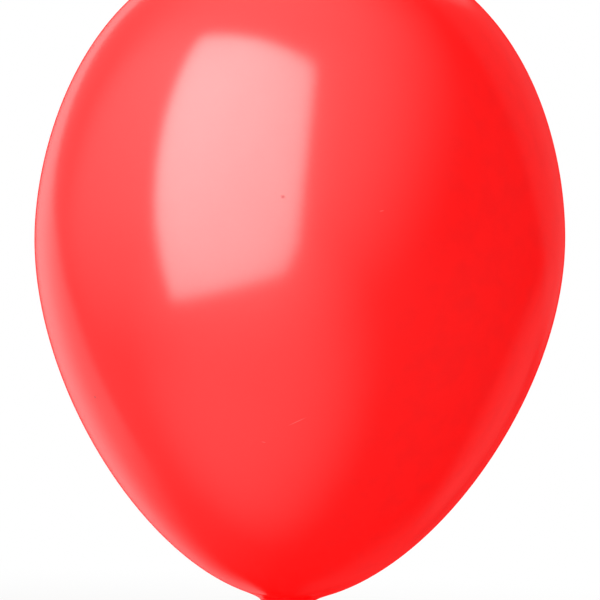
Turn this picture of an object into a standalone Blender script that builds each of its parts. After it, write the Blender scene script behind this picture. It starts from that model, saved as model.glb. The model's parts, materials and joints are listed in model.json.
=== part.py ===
"""A tied latex balloon, blown to its full size: bulb, neck, knot, tail and rolled lip.

Metres, +Z up. The origin is the middle of the gathered throat, where a ribbon is tied. The bulb stands above it
and the knot, the tail and the mouth hang below it.
"""

import math

import bmesh
import bpy
from mathutils import Matrix, Vector

# Bulb: a turned shape of two Bezier curves that meet at the widest section
BULB_RADIUS = 0.140
CROWN_HEIGHT = 0.1593  # widest section to crown
SHOULDER_DEPTH = 0.1874  # widest section down to the neck
CROWN_FULLNESS = 0.0506  # handle above the widest section
CROWN_FLATNESS = 0.1146  # handle beside the crown
FLANK_FULLNESS = 0.0765  # handle below the widest section
SHOULDER_HANDLE_RADIUS = 0.0820  # the last handle, above the neck
SHOULDER_HANDLE_DEPTH = 0.1666
BULB_SKIN = 0.00001  # latex blown to about a twentieth of its moulded thickness
WELD = BULB_SKIN / 20  # points of the turned skin nearer than this are one

# Neck: a pleated funnel from the bulb to the throat
NECK_TOP_RADIUS = 0.0233
NECK_LENGTH = 0.0220
NECK_FILLET_RADIUS = 0.0142  # where the bulb's underside turns down into the neck
NECK_FILLET_DEPTH = 0.0048
NECK_FILLET_DRAW = 0.0004  # the funnel is this much narrower at the fillet's foot
NECK_SHELF_HANDLE = 0.6  # of the run from the top to the fillet
NECK_FILLET_HANDLE = 0.35  # of the fillet's depth
NECK_FUNNEL_DRAW = 0.0012  # and this much narrower at its upper handle
NECK_UPPER_HANDLE = 0.42  # of the drop below the fillet
NECK_LOWER_HANDLE = 0.50  # of the same drop, up from the throat
NECK_SKIN_TOP = 0.00010
NECK_SKIN_BOTTOM = 0.00030
NECK_PLEAT_DEPTH = 0.00060  # at the throat, fading out towards the bulb

# Throat: the gathered stem above the knot
THROAT_LENGTH = 0.0080
THROAT_RADIUS = 0.0034
THROAT_WAIST = 0.0029
THROAT_EASES = (0.15, 0.72)  # of its length, where it is halfway to its waist
THROAT_WAIST_DROP = 0.40  # of its length, where it is narrowest
THROAT_CUP_SHARES = (0.66, 0.33)  # of its radius, the inner rings of the cup
PLEATS = 9

# Knot: a ball with the turn of the neck in a groove round it
KNOT_RADIUS = 0.0055
TURN_RADIUS = 0.0052  # of the turn's centre line
TURN_THICKNESS = 0.0019  # half the strand's width
TURN_DROP = 0.0008  # below the ball's centre
TURN_TILT = math.radians(18)

# Tail: the flattened sleeve below the knot, and its mouth
TAIL_ROOT_RADIUS = 0.0026
TAIL_ROOT_DROP = 0.0020  # its pivot below the ball's underside
TAIL_LENGTH = 0.0200  # pivot to mouth
TAIL_SOLID_LENGTH = 0.0050  # gathered solid below the pivot
MOUTH_HALF_WIDTH = 0.0105
MOUTH_HALF_DEPTH = 0.0062
TAIL_SKIN = 0.00030
TAIL_FLARE = 1.25  # how late the sleeve widens; 1 would be a cone
LIP_THICKNESS = 0.0012  # half the rolled bead's width

GAP = 0.0003  # between sections that touch
SHARP_ANGLE = math.radians(50)

# How finely the shapes are drawn
BULB_SEGMENTS = 48
FOLD_SEGMENTS = 4  # per pleat
ROUND_SEGMENTS = 36
STRAND_SEGMENTS = 12  # round the knot's turn
LIP_SEGMENTS = 10  # round the rolled bead
CROWN_STEPS = 12
FLANK_STEPS = 14
SHELF_STEPS = 5
FUNNEL_STEPS = 8
TAIL_ROOT_STEPS = 6
TAIL_OUTER_STEPS = 8
TAIL_INNER_STEPS = 6

# Heights that follow from the sizes
THROAT_TOP_Z = THROAT_LENGTH / 2
THROAT_BOTTOM_Z = -THROAT_LENGTH / 2
CUP_RADIUS = KNOT_RADIUS + GAP
KNOT_Z = THROAT_BOTTOM_Z - math.sqrt(CUP_RADIUS**2 - THROAT_RADIUS**2)
TAIL_Z = KNOT_Z - KNOT_RADIUS - TAIL_ROOT_DROP
NECK_BOTTOM_Z = THROAT_TOP_Z + GAP
NECK_TOP_Z = NECK_BOTTOM_Z + NECK_LENGTH
WIDEST_Z = NECK_TOP_Z + GAP + SHOULDER_DEPTH

STRETCHED_RED = (0.93, 0.012, 0.012, 1.0)  # thin, bright latex of the bulb
SLACK_RED = (0.55, 0.004, 0.006, 1.0)  # thick, unstretched latex of the neck and knot
STRETCHED_ROUGHNESS = 0.12
SLACK_ROUGHNESS = 0.35
LIP_ROUGHNESS = 0.30


def clear_scene():
    """Removes whatever the file holds."""
    for old in list(bpy.data.objects):
        bpy.data.objects.remove(old)


def latex(name, colour, roughness):
    """A latex material: its colour and its roughness."""
    material = bpy.data.materials.new(name)
    material.use_nodes = True
    shader = material.node_tree.nodes["Principled BSDF"]
    shader.inputs["Base Color"].default_value = colour
    shader.inputs["Roughness"].default_value = roughness
    shader.inputs["Metallic"].default_value = 0.0
    material.diffuse_color = colour
    return material


def pivot(name, z, parent=None):
    """An empty on a joint's axis, at a height on the balloon's axis."""
    empty = bpy.data.objects.new(name, None)
    bpy.context.scene.collection.objects.link(empty)
    empty.parent = parent
    empty.location.z = z - (parent.matrix_world.translation.z if parent else 0.0)
    bpy.context.view_layer.update()
    return empty


def finish_mesh(name, mesh_data, parent, colour, roughness):
    """Turns a bmesh, modelled in its parent's own frame, into a smooth-shaded object."""
    bmesh.ops.recalc_face_normals(mesh_data, faces=mesh_data.faces)
    mesh = bpy.data.meshes.new(name)
    mesh_data.to_mesh(mesh)
    mesh_data.free()
    mesh.shade_smooth()
    mesh.set_sharp_from_angle(angle=SHARP_ANGLE)
    thing = bpy.data.objects.new(name, mesh)
    bpy.context.scene.collection.objects.link(thing)
    thing.parent = parent
    mesh.materials.append(latex(name, colour, roughness))
    return thing


def loft(rings, closed):
    """Joins rings of points into one skin. A closed loft runs on from its last ring to its first; an open one is
    capped at both ends."""
    mesh = bmesh.new()
    rows = [[mesh.verts.new(point) for point in ring] for ring in rings]
    pairs = list(zip(rows, rows[1:]))
    if closed:
        pairs.append((rows[-1], rows[0]))
    else:
        mesh.faces.new(rows[0])
        mesh.faces.new(reversed(rows[-1]))
    for row, after in pairs:
        for i in range(len(row)):
            j = (i + 1) % len(row)
            mesh.faces.new((row[i], after[i], after[j], row[j]))
    return mesh


def pleated_ring(radius, depth, height):
    """A ring of points whose radius folds in and out by the pleat depth; height gives z from the radius."""
    count = PLEATS * FOLD_SEGMENTS
    ring = []
    for i in range(count):
        angle = math.tau * i / count
        r = radius - depth * (0.5 - 0.5 * math.cos(PLEATS * angle))
        ring.append((r * math.cos(angle), r * math.sin(angle), height(r)))
    return ring


def oval_ring(half_x, half_y, z):
    """An elliptical ring of points."""
    angles = [math.tau * i / ROUND_SEGMENTS for i in range(ROUND_SEGMENTS)]
    return [(half_x * math.cos(a), half_y * math.sin(a), z) for a in angles]


def bezier(points, steps):
    """Points (radius, z) along a cubic Bezier curve, both ends included."""
    a, b, c, d = (Vector(p) for p in points)
    curve = []
    for i in range(steps + 1):
        t = i / steps
        s = 1 - t
        curve.append(a * s**3 + b * 3 * s * s * t + c * 3 * s * t * t + d * t**3)
    return curve


def bulb_outline():
    """The bulb's outer profile, from the crown down to the neck."""
    crown = bezier(
        [
            (0, CROWN_HEIGHT),
            (CROWN_FLATNESS, CROWN_HEIGHT),
            (BULB_RADIUS, CROWN_FULLNESS),
            (BULB_RADIUS, 0),
        ],
        steps=CROWN_STEPS,
    )
    flank = bezier(
        [
            (BULB_RADIUS, 0),
            (BULB_RADIUS, -FLANK_FULLNESS),
            (SHOULDER_HANDLE_RADIUS, -SHOULDER_HANDLE_DEPTH),
            (NECK_TOP_RADIUS, -SHOULDER_DEPTH),
        ],
        steps=FLANK_STEPS,
    )
    return crown + flank[1:]


def inward(outline, skin):
    """The outline moved inwards by the skin's thickness, square to its own run, with its first point on the axis."""
    moved = []
    for i, point in enumerate(outline):
        along = outline[min(i + 1, len(outline) - 1)] - outline[max(i - 1, 0)]
        normal = Vector((along.y, -along.x)).normalized()
        moved.append(point + normal * skin)
    moved[0] = Vector((0, outline[0].y - skin))
    return moved


def make_envelope():
    """The blown bulb: a thin turned skin, open at the neck."""
    outer = bulb_outline()
    inner = inward(outer, BULB_SKIN)
    mesh = bmesh.new()
    loop = [mesh.verts.new((p.x, 0, p.y)) for p in outer + inner[::-1]]
    for start, end in zip(loop, loop[1:]):
        mesh.edges.new((start, end))
    bmesh.ops.spin(
        mesh,
        geom=mesh.verts[:] + mesh.edges[:],
        cent=(0, 0, 0),
        axis=(0, 0, 1),
        angle=math.tau,
        steps=BULB_SEGMENTS,
        use_merge=True,
    )
    bmesh.ops.remove_doubles(mesh, verts=mesh.verts, dist=WELD)
    envelope = finish_mesh("envelope", mesh, None, STRETCHED_RED, STRETCHED_ROUGHNESS)
    envelope.location.z = WIDEST_Z
    return envelope


def neck_outline():
    """The neck's outer profile, from the bulb down to the throat."""
    fillet_z = NECK_TOP_Z - NECK_FILLET_DEPTH
    slope = (SHOULDER_DEPTH - SHOULDER_HANDLE_DEPTH) / (SHOULDER_HANDLE_RADIUS - NECK_TOP_RADIUS)
    handle = NECK_SHELF_HANDLE * (NECK_TOP_RADIUS - NECK_FILLET_RADIUS)
    shelf = bezier(
        [
            (NECK_TOP_RADIUS, NECK_TOP_Z),
            (NECK_TOP_RADIUS - handle, NECK_TOP_Z - handle * slope),
            (NECK_FILLET_RADIUS, fillet_z + NECK_FILLET_HANDLE * NECK_FILLET_DEPTH),
            (NECK_FILLET_RADIUS - NECK_FILLET_DRAW, fillet_z),
        ],
        steps=SHELF_STEPS,
    )
    drop = fillet_z - NECK_BOTTOM_Z
    funnel = bezier(
        [
            (NECK_FILLET_RADIUS - NECK_FILLET_DRAW, fillet_z),
            (NECK_FILLET_RADIUS - NECK_FUNNEL_DRAW, fillet_z - NECK_UPPER_HANDLE * drop),
            (THROAT_RADIUS, NECK_BOTTOM_Z + NECK_LOWER_HANDLE * drop),
            (THROAT_RADIUS, NECK_BOTTOM_Z),
        ],
        steps=FUNNEL_STEPS,
    )
    return shelf + funnel[1:]


def make_neck():
    """The pleated funnel, its skin growing thicker and its folds deeper towards the throat."""
    outline = neck_outline()
    outer, inner = [], []
    for point in outline:
        share = (NECK_TOP_Z - point.y) / NECK_LENGTH
        depth = NECK_PLEAT_DEPTH * share
        skin = NECK_SKIN_TOP + (NECK_SKIN_BOTTOM - NECK_SKIN_TOP) * share
        outer.append(pleated_ring(point.x, depth, lambda r, z=point.y: z))
        inner.append(pleated_ring(point.x - skin, depth, lambda r, z=point.y: z))
    return finish_mesh("neck", loft(outer + inner[::-1], True), None, SLACK_RED, SLACK_ROUGHNESS)


def make_throat(joint):
    """The gathered stem: a flat top that turns on the neck and a cup below that rides on the knot's ball."""

    def cup(radius):
        return KNOT_Z + math.sqrt(CUP_RADIUS**2 - radius**2) - THROAT_TOP_Z

    halfway = (THROAT_RADIUS + THROAT_WAIST) / 2
    upper, lower = THROAT_EASES
    sides = [
        (THROAT_RADIUS, 0.0),
        (halfway, -upper),
        (THROAT_WAIST, -THROAT_WAIST_DROP),
        (halfway, -lower),
    ]
    rings = [
        pleated_ring(radius, NECK_PLEAT_DEPTH, lambda r, z=share * THROAT_LENGTH: z)
        for radius, share in sides
    ]
    rings.append(pleated_ring(THROAT_RADIUS, NECK_PLEAT_DEPTH, cup))
    for share in THROAT_CUP_SHARES:
        rings.append(pleated_ring(share * THROAT_RADIUS, share * NECK_PLEAT_DEPTH, cup))
    return finish_mesh("throat", loft(rings, False), joint, SLACK_RED, SLACK_ROUGHNESS)


def cutter(name, mesh, parent):
    """A hidden shape that cuts its neighbour."""
    tool = finish_mesh(name, mesh, parent, SLACK_RED, SLACK_ROUGHNESS)
    tool.hide_render = True
    tool.display_type = "WIRE"
    return tool


def ball(radius):
    """A sphere about its own centre."""
    mesh = bmesh.new()
    bmesh.ops.create_uvsphere(mesh, u_segments=ROUND_SEGMENTS, v_segments=ROUND_SEGMENTS // 2, radius=radius)
    return mesh


def hoop(thickness):
    """The tilted ring that the knot's turn runs along, about the ball's centre."""
    tilt = Matrix.Rotation(TURN_TILT, 3, "X")
    mesh = bmesh.new()
    rows = []
    for i in range(ROUND_SEGMENTS):
        around = math.tau * i / ROUND_SEGMENTS
        row = []
        for k in range(STRAND_SEGMENTS):
            turn = math.tau * k / STRAND_SEGMENTS
            r = TURN_RADIUS + thickness * math.cos(turn)
            point = Vector((r * math.cos(around), r * math.sin(around), thickness * math.sin(turn) - TURN_DROP))
            row.append(mesh.verts.new(tilt @ point))
        rows.append(row)
    for row, after in zip(rows, rows[1:] + rows[:1]):
        for k in range(STRAND_SEGMENTS):
            j = (k + 1) % STRAND_SEGMENTS
            mesh.faces.new((row[k], after[k], after[j], row[j]))
    return mesh


def make_knot(joint):
    """The ball of the knot, grooved for its turn and dimpled for the tail, and the turn itself."""
    core = finish_mesh("knot_core", ball(KNOT_RADIUS), joint, SLACK_RED, SLACK_ROUGHNESS)
    dimple = cutter("cutter_dimple", ball(TAIL_ROOT_RADIUS + GAP), joint)
    dimple.location.z = TAIL_Z - KNOT_Z
    groove = cutter("cutter_groove", hoop(TURN_THICKNESS + GAP), joint)
    for tool in (dimple, groove):
        cut = core.modifiers.new(tool.name, "BOOLEAN")
        cut.operation = "DIFFERENCE"
        cut.solver = "EXACT"
        cut.object = tool
    finish_mesh("knot_turn", hoop(TURN_THICKNESS), joint, SLACK_RED, SLACK_ROUGHNESS)
    return core


def make_tail(joint):
    """The sleeve: a round root that turns in the knot's dimple, gathered solid at first, then hollow to the mouth."""

    def section(depth):
        """Half width and half depth of the sleeve at a depth below the pivot."""
        share = (depth / TAIL_LENGTH) ** TAIL_FLARE
        half_x = TAIL_ROOT_RADIUS + (MOUTH_HALF_WIDTH - TAIL_ROOT_RADIUS) * share
        half_y = TAIL_ROOT_RADIUS + (MOUTH_HALF_DEPTH - TAIL_ROOT_RADIUS) * share
        return half_x, half_y

    rings = []
    for step in range(1, TAIL_ROOT_STEPS):
        polar = math.pi / 2 * step / TAIL_ROOT_STEPS
        rings.append(oval_ring(*[TAIL_ROOT_RADIUS * math.sin(polar)] * 2, TAIL_ROOT_RADIUS * math.cos(polar)))
    for step in range(TAIL_OUTER_STEPS + 1):
        depth = TAIL_LENGTH * step / TAIL_OUTER_STEPS
        rings.append(oval_ring(*section(depth), -depth))
    for step in range(TAIL_INNER_STEPS + 1):
        depth = TAIL_LENGTH - (TAIL_LENGTH - TAIL_SOLID_LENGTH) * step / TAIL_INNER_STEPS
        half_x, half_y = section(depth)
        rings.append(oval_ring(half_x - TAIL_SKIN, half_y - TAIL_SKIN, -depth))
    return finish_mesh("tail", loft(rings, False), joint, SLACK_RED, SLACK_ROUGHNESS)


def make_lip(joint):
    """The rolled bead, just below the sleeve's edge."""
    z = -TAIL_LENGTH - GAP - LIP_THICKNESS
    middle = TAIL_SKIN / 2
    rings = []
    for k in range(LIP_SEGMENTS):
        turn = math.tau * k / LIP_SEGMENTS
        out = LIP_THICKNESS * math.cos(turn) - middle
        rings.append(
            oval_ring(MOUTH_HALF_WIDTH + out, MOUTH_HALF_DEPTH + out, z + LIP_THICKNESS * math.sin(turn))
        )
    return finish_mesh("rolled_lip", loft(rings, True), joint, SLACK_RED, LIP_ROUGHNESS)


def main():
    """Builds the balloon from the bulb down."""
    clear_scene()
    make_envelope()
    make_neck()
    neck_twist = pivot("neck_twist", THROAT_TOP_Z)
    make_throat(neck_twist)
    knot_sway = pivot("knot_sway", KNOT_Z, neck_twist)
    make_knot(knot_sway)
    tail_swing = pivot("tail_swing", TAIL_Z, knot_sway)
    make_tail(tail_swing)
    make_lip(tail_swing)


main()
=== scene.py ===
"""A tied latex balloon: the blown bulb, the gathered neck, the throat, the knot and the tail with its lip.

Metres, +Z up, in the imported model's own frame. The balloon hangs in the air over a pale floor, bulb up.
"""

from __future__ import annotations

import json
import logging
import math
from collections.abc import Mapping, Sequence
from dataclasses import dataclass, field
from enum import Enum
from typing import Any

import bmesh
import bpy
import numpy as np
from mathutils import Euler, Matrix, Vector

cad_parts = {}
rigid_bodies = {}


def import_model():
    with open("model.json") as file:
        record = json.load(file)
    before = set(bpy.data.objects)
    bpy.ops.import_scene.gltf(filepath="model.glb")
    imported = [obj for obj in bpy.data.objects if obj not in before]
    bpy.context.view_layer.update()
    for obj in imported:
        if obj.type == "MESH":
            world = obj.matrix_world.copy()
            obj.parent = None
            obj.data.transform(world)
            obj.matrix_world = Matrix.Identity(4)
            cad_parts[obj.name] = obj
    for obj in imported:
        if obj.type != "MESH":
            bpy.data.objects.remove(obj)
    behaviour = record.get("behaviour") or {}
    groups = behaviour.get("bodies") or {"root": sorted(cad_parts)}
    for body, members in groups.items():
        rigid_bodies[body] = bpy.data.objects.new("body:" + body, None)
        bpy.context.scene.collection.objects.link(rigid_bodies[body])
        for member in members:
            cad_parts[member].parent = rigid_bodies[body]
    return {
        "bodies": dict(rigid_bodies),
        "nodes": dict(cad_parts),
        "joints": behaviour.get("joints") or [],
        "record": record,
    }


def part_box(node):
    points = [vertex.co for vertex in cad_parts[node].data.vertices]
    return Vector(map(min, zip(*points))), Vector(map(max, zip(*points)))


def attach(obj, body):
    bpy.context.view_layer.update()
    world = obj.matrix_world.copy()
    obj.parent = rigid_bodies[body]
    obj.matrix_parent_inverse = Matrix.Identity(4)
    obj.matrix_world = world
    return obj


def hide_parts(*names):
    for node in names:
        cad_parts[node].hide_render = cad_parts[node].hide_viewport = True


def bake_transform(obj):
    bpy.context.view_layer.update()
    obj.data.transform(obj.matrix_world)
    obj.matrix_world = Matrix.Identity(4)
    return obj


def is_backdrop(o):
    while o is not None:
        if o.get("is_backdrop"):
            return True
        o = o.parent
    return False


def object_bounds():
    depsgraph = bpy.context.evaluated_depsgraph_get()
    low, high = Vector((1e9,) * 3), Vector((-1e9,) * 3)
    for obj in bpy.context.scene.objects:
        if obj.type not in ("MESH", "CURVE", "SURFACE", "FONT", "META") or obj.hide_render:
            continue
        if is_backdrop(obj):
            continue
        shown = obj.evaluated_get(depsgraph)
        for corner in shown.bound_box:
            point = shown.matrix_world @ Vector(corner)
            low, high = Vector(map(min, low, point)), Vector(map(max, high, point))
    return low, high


LOG = logging.getLogger("balloon")
MM = 0.001
FRAME: dict[str, Any] = {}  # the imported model's own description, which main fills in

Node = bpy.types.Node
Tree = bpy.types.NodeTree
Socket = bpy.types.NodeSocket
Material = bpy.types.Material
Object = bpy.types.Object
Inputs = Mapping[str | int, Any]  # what a node's inputs take, by their names or numbers
Ring = np.ndarray  # the points of one closed ring, one row of three numbers each
Waves = tuple[tuple[float, int, float], ...]  # each wave's size, how often it goes round, and its shift

SMOOTH = {"interpolation_type": "SMOOTHSTEP"}  # a run between two values with no corner at either end
COLOURS = {"data_type": "RGBA"}  # a mix of two colours
COLOUR_A, COLOUR_B, MIXED = 6, 7, 2  # its sockets, which share their names with others
LEVEL_A, LEVEL_B = 2, 3  # and those of a mix of two levels


# ------------------------------------------------------------------------------------------------
# Colours and nodes


def linear(hex_colour: str) -> tuple[float, float, float, float]:
    """Turns an sRGB hex colour into the linear colour that a shader takes, by the standard's own curve.

    Args:
        hex_colour: a colour such as "#FF1C1C".

    Returns:
        Red, green, blue and an alpha of 1.
    """
    channels = [int(hex_colour[i : i + 2], 16) / 255 for i in (1, 3, 5)]
    return (*[c / 12.92 if c <= 0.04045 else ((c + 0.055) / 1.055) ** 2.4 for c in channels], 1.0)


def per_metre(size_mm: float) -> float:
    """The texture scale, in repeats per metre, of a pattern of that size in millimetres."""
    return 1.0 / (size_mm * MM)


def add_node(tree: Tree, kind: str, inputs: Inputs | None = None, **settings: str) -> Node:
    """Adds a node with its settings and its links.

    Args:
        tree: the tree that gets the node.
        kind: the node's type, without the word ShaderNode that starts it.
        inputs: what each input takes, by its name or number: a value, a socket, or a node's first output.
        settings: the node's own properties.

    Returns:
        The new node.
    """
    node = tree.nodes.new("ShaderNode" + kind)
    for name, value in settings.items():
        setattr(node, name, value)
    for key, value in (inputs or {}).items():
        if isinstance(value, Node):
            value = value.outputs[0]
        if isinstance(value, Socket):
            tree.links.new(value, node.inputs[key])
        else:
            node.inputs[key].default_value = value
    return node


def start_material(name: str) -> tuple[Material, Tree, Socket]:
    """Starts a node material.

    Args:
        name: the material's name.

    Returns:
        The material, its empty tree, and the socket of the surface's place in metres.
    """
    material = bpy.data.materials.new(name)
    material.use_nodes = True
    tree = material.node_tree
    tree.nodes.clear()
    return material, tree, add_node(tree, "TexCoord").outputs["Object"]


# ------------------------------------------------------------------------------------------------
# Finishes


@dataclass(frozen=True)
class Blemish:
    """A speck of dust or a hair of lint on the bulb."""

    azimuth: float  # degrees from the front, to the right
    height: float  # metres above the widest section
    length: float  # millimetres
    width: float  # millimetres
    turn: float = 0.0  # degrees that its length leans from level
    pale: bool = False


@dataclass(frozen=True)
class Mark:
    """A blemish put in its place: where it lies, how it is turned and how far it reaches."""

    place: Vector
    turn: Euler
    reach: tuple[float, float, float]
    pale: bool


class Stretch(Enum):
    """How far a stretch of the skin was blown up."""

    BLOWN = "stretched_latex"
    SLACK = "slack_latex"


@dataclass(frozen=True)
class DippedLatex:
    """Natural rubber latex with a red pigment, moulded by dipping a form in it.

    Blown up, it is opaque, evenly red and glossy, and the lamps that it mirrors are a little soft at their
    edges. Where it was stretched less, at the crown and down the neck, it is thicker and deeper in colour.
    Where it is slack it is satin, with fine creases and a trace of the powder that keeps new balloons from
    sticking.
    """

    blown_colour: str = "#FE0C0D"
    thick_colour: str = "#C90F17"
    slack_colour: str = "#CB1018"
    shade_colour: str = "#A50C14"
    powder_colour: str = "#E0605C"
    lint_colour: str = "#FFB9B4"
    dust_colour: str = "#4A3030"
    index: float = 1.52  # of natural rubber
    specular_level: float = 0.5
    rim_gloss: tuple[float, float] = (0.97, 0.15)  # how far it is turned away where gloss ends, and is full
    blown_roughness: float = 0.18
    blown_spread: float = 0.015  # more and less of it, in patches
    slack_roughness: float = 0.42
    slack_spread: float = 0.08
    mottle_mm: float = 11.0  # uneven thickness from dipping
    mottle_detail: float = 4.0
    mottle_range: tuple[float, float] = (0.35, 0.75)  # of the pattern, from thin to thick
    mottle_depth: float = 0.10
    slack_mottle_mm: float = 3.5
    peel_mm: float = 2.2  # the surface's faint orange peel
    peel_detail: float = 2.0
    peel_height_mm: float = 0.002
    crease_mm: float = 0.55  # across a crease
    crease_detail: float = 3.0
    crease_run: float = 0.12  # how slowly the creases change down the skin
    crease_height_mm: float = 0.05
    powder_range: tuple[float, float] = (0.55, 0.80)  # of the creases, from bare to powdered
    powder_share: float = 0.16
    spot_core_mm: float = 4.0  # the thick spot at the crown, where the dipped form dripped
    spot_edge_mm: float = 17.0
    spot_depth: float = 0.55
    mark_core: float = 0.3  # of a mark's reach, where it starts to fade
    dust_depth: float = 0.54  # how much of it shows over the skin's colour
    dust_level: float = 0.0  # of its gloss
    lint_depth: float = 0.13
    lint_roughness: float = 0.60

    def blown(self, crown: Vector, neck_top: float, neck_bottom: float, marks: Sequence[Mark]) -> Material:
        """Builds the latex of the bulb and the neck, which goes slack down the neck with no seam.

        Args:
            crown: the top of the bulb.
            neck_top: the height below which the skin grows thicker.
            neck_bottom: the height at which it is slack.
            marks: the dust and the lint on it.

        Returns:
            The material.
        """
        material, tree, place = start_material(Stretch.BLOWN.value)
        height = add_node(tree, "SeparateXYZ", {"Vector": place}).outputs["Z"]
        down = {"Value": height, "From Min": neck_top, "From Max": neck_bottom}
        slack = add_node(tree, "MapRange", down, **SMOOTH)
        patches = {"Vector": place, "Scale": per_metre(self.mottle_mm), "Detail": self.mottle_detail}
        mottle = add_node(tree, "TexNoise", patches)
        slack_colour, creases, _ = self.slack_skin(tree, place)
        taut_colour = self.taut_colour(tree, place, crown, mottle)
        deeper = {"Factor": slack, COLOUR_A: taut_colour, COLOUR_B: slack_colour}
        colour = add_node(tree, "Mix", deeper, **COLOURS)
        glossy = self.uneven(tree, mottle, self.blown_roughness, self.blown_spread)
        duller = {"Value": slack, "To Min": glossy, "To Max": self.slack_roughness}
        rough = add_node(tree, "MapRange", duller)
        gloss = self.even_gloss(tree)
        for mark in marks:
            hue = self.lint_colour if mark.pale else self.dust_colour
            depth = self.lint_depth if mark.pale else self.dust_depth
            inside = self.inside(tree, place, mark, depth)
            spotted = {"Factor": inside, COLOUR_A: colour.outputs[MIXED], COLOUR_B: linear(hue)}
            colour = add_node(tree, "Mix", spotted, **COLOURS)
            if mark.pale:
                woolly = {"Factor": inside, LEVEL_A: rough, LEVEL_B: self.lint_roughness}
                rough = add_node(tree, "Mix", woolly)
            else:
                dusty = {"Factor": inside, LEVEL_A: gloss, LEVEL_B: self.dust_level}
                gloss = add_node(tree, "Mix", dusty)
        grain = {"Vector": place, "Scale": per_metre(self.peel_mm), "Detail": self.peel_detail}
        peel = add_node(tree, "TexNoise", grain)
        raised = {"Distance": self.peel_height_mm * MM, "Height": peel}
        waxy = add_node(tree, "Bump", raised)
        folds = {"Height": creases, "Strength": slack, "Normal": waxy}
        self.close(tree, colour.outputs[MIXED], rough, gloss, folds)
        return material

    def slack(self) -> Material:
        """Builds the latex of the throat, the knot, the tail and the lip.

        Returns:
            The material.
        """
        material, tree, place = start_material(Stretch.SLACK.value)
        colour, creases, mottle = self.slack_skin(tree, place)
        rough = self.uneven(tree, mottle, self.slack_roughness, self.slack_spread)
        self.close(tree, colour, rough, self.even_gloss(tree), {"Height": creases})
        return material

    def taut_colour(self, tree: Tree, place: Socket, crown: Vector, mottle: Node) -> Socket:
        """Adds the colour of blown skin, deeper where the skin is thicker.

        Args:
            tree: the material's tree.
            place: the socket of the surface's place.
            crown: the top of the bulb.
            mottle: the pattern of its thickness.

        Returns:
            The colour's socket.
        """
        thin, full = self.mottle_range
        patchy = {"Value": mottle, "From Min": thin, "From Max": full, "To Max": self.mottle_depth}
        uneven = add_node(tree, "MapRange", patchy, **SMOOTH)
        from_crown = add_node(tree, "VectorMath", {0: place, 1: crown}, operation="DISTANCE")
        drip = {
            "Value": from_crown.outputs["Value"],
            "From Min": self.spot_edge_mm * MM,
            "From Max": self.spot_core_mm * MM,
            "To Max": self.spot_depth,
        }
        spot = add_node(tree, "MapRange", drip, **SMOOTH)
        thick = add_node(tree, "Math", {0: uneven, 1: spot}, operation="MAXIMUM")
        deeper = {"Factor": thick, COLOUR_A: linear(self.blown_colour), COLOUR_B: linear(self.thick_colour)}
        return add_node(tree, "Mix", deeper, **COLOURS).outputs[MIXED]

    def slack_skin(self, tree: Tree, place: Socket) -> tuple[Socket, Node, Node]:
        """Adds the pattern that slack skin has wherever it is.

        Args:
            tree: the material's tree.
            place: the socket of the surface's place.

        Returns:
            The socket of its colour, and the nodes of its creases and its mottle.
        """
        drawn_out = {"Vector": place, "Scale": (1.0, 1.0, self.crease_run)}
        along = add_node(tree, "Mapping", drawn_out)
        lines = {"Vector": along, "Scale": per_metre(self.crease_mm), "Detail": self.crease_detail}
        creases = add_node(tree, "TexNoise", lines)
        patches = {"Vector": place, "Scale": per_metre(self.slack_mottle_mm), "Detail": self.mottle_detail}
        mottle = add_node(tree, "TexNoise", patches)
        shade, rubber = linear(self.shade_colour), linear(self.slack_colour)
        shaded = {"Factor": mottle, COLOUR_A: shade, COLOUR_B: rubber}
        skin = add_node(tree, "Mix", shaded, **COLOURS)
        bare, full = self.powder_range
        left = {"Value": creases, "From Min": bare, "From Max": full, "To Max": self.powder_share}
        powder = add_node(tree, "MapRange", left, **SMOOTH)
        dusted = {"Factor": powder, COLOUR_A: skin.outputs[MIXED], COLOUR_B: linear(self.powder_colour)}
        return add_node(tree, "Mix", dusted, **COLOURS).outputs[MIXED], creases, mottle

    @staticmethod
    def uneven(tree: Tree, mottle: Node, middle: float, spread: float) -> Node:
        """Adds a roughness that follows the mottle, by as much to either side of its middle."""
        either_side = {"Value": mottle, "To Min": middle - spread, "To Max": middle + spread}
        return add_node(tree, "MapRange", either_side)

    def even_gloss(self, tree: Tree) -> Node:
        """Adds a specular level that keeps the gloss about as strong at the rim as face on.

        Args:
            tree: the material's tree.

        Returns:
            The level's node.
        """
        turned = add_node(tree, "LayerWeight").outputs["Facing"]
        rim, face = self.rim_gloss
        full = math.sqrt(self.specular_level)
        fading = {"Value": turned, "From Min": rim, "From Max": face, "To Max": full}
        held = add_node(tree, "MapRange", fading, **SMOOTH)
        return add_node(tree, "Math", {0: held, 1: held}, operation="MULTIPLY")

    def inside(self, tree: Tree, place: Socket, mark: Mark, depth: float) -> Node:
        """Adds a mask that is full in the middle of a mark and gone at its edge.

        Args:
            tree: the material's tree.
            place: the socket of the surface's place.
            mark: the mark.
            depth: the mask's value where it is full.

        Returns:
            The mask's node.
        """
        shape = {"Vector": place, "Location": mark.place, "Rotation": mark.turn, "Scale": mark.reach}
        near = add_node(tree, "Mapping", shape, vector_type="TEXTURE")
        far = add_node(tree, "VectorMath", {0: near}, operation="LENGTH").outputs["Value"]
        fading = {"Value": far, "From Min": 1.0, "From Max": self.mark_core, "To Max": depth}
        return add_node(tree, "MapRange", fading, **SMOOTH)

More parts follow.
